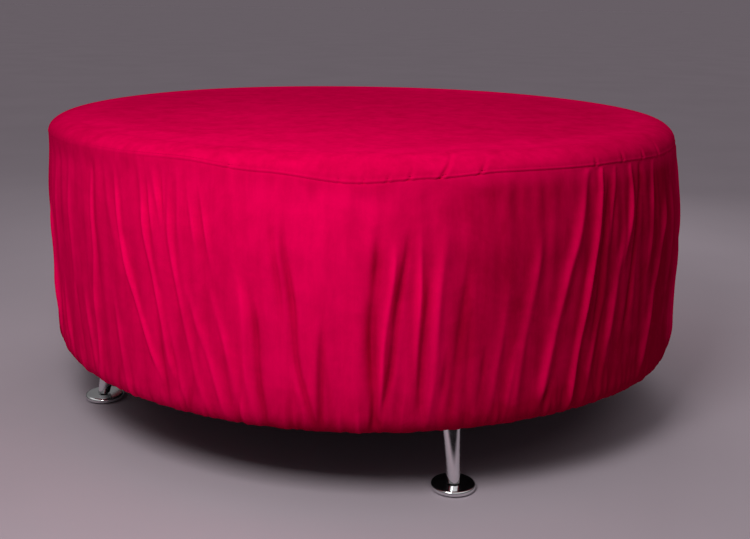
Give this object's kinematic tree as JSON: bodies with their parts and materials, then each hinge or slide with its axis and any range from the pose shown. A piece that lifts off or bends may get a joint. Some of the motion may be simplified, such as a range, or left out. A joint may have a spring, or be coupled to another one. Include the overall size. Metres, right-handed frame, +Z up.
{
  "type": "round ottoman",
  "caption": "Low round upholstered ottoman in a loose red suede slip cover with upright folds, on raked chrome legs whose disc feet swivel and tilt.",
  "frame": {"origin": "on the floor, under the middle of the seat", "axes": "+Z up; the legs stand on the X and Y axes, the front leg on -Y"},
  "size_m": [1.0174, 1.0174, 0.47],
  "materials": {
    "cover": "suede",
    "foam": "foam",
    "wadding": "felted",
    "elastic": "matte",
    "dust_cloth": "non-woven",
    "plywood": "sanded",
    "softwood": "sawn",
    "hardboard": "pressed",
    "steel": "zinc plated",
    "chrome": "polished",
    "socket_plastic": "moulded",
    "glide": "matte"
  },
  "bodies": {
    "ottoman": {"base_board": "plywood", "seat_board": "plywood", "centre_post": "softwood", "rim_post_1": "softwood", "rim_post_2": "softwood", "rim_post_3": "softwood", "rim_post_4": "softwood", "rim_post_5": "softwood", "rim_post_6": "softwood", "rim_post_7": "softwood", "rim_post_8": "softwood", "side_skin_back": "hardboard", "side_skin_front": "hardboard", "seat_foam": "foam", "side_foam": "foam", "wadding": "wadding", "cover_top": "cover", "cover_band": "cover", "hem_elastic": "elastic", "dust_cover": "dust_cloth", "dust_cover_staples": "steel", "seat_board_screws": "steel", "base_board_screws": "steel", "skin_nails": "steel", "leg_plate_screws": "steel", "leg_plate_right": "steel", "leg_right": "chrome", "foot_socket_right": "socket_plastic", "leg_plate_back": "steel", "leg_back": "chrome", "foot_socket_back": "socket_plastic", "leg_plate_left": "steel", "leg_left": "chrome", "foot_socket_left": "socket_plastic", "leg_plate_front": "steel", "leg_front": "chrome", "foot_socket_front": "socket_plastic"},
    "ball_pin_right": {"ball_pin_right": "steel"},
    "foot_right": {"foot_disc_right": "chrome", "foot_pad_right": "glide"},
    "ball_pin_back": {"ball_pin_back": "steel"},
    "foot_back": {"foot_disc_back": "chrome", "foot_pad_back": "glide"},
    "ball_pin_left": {"ball_pin_left": "steel"},
    "foot_left": {"foot_disc_left": "chrome", "foot_pad_left": "glide"},
    "ball_pin_front": {"ball_pin_front": "steel"},
    "foot_front": {"foot_disc_front": "chrome", "foot_pad_front": "glide"}
  },
  "joints": [
    {"name": "foot_tilt_right", "type": "hinge", "parent": "ottoman", "child": "ball_pin_right", "pos_m": [0.446, 0, 0.0155], "axis": [0, 1, 0], "range_deg": [-5, 5]},
    {"name": "foot_turn_right", "type": "hinge", "parent": "ball_pin_right", "child": "foot_right", "pos_m": [0.446, 0, 0.0155], "axis": [0, 0, 1], "continuous": true},
    {"name": "foot_tilt_back", "type": "hinge", "parent": "ottoman", "child": "ball_pin_back", "pos_m": [0, 0.446, 0.0155], "axis": [-1, 0, 0], "range_deg": [-5, 5]},
    {"name": "foot_turn_back", "type": "hinge", "parent": "ball_pin_back", "child": "foot_back", "pos_m": [0, 0.446, 0.0155], "axis": [0, 0, 1], "continuous": true},
    {"name": "foot_tilt_left", "type": "hinge", "parent": "ottoman", "child": "ball_pin_left", "pos_m": [-0.446, 0, 0.0155], "axis": [0, -1, 0], "range_deg": [-5, 5]},
    {"name": "foot_turn_left", "type": "hinge", "parent": "ball_pin_left", "child": "foot_left", "pos_m": [-0.446, 0, 0.0155], "axis": [0, 0, 1], "continuous": true},
    {"name": "foot_tilt_front", "type": "hinge", "parent": "ottoman", "child": "ball_pin_front", "pos_m": [0, -0.446, 0.0155], "axis": [1, 0, 0], "range_deg": [-5, 5]},
    {"name": "foot_turn_front", "type": "hinge", "parent": "ball_pin_front", "child": "foot_front", "pos_m": [0, -0.446, 0.0155], "axis": [0, 0, 1], "continuous": true}
  ]
}
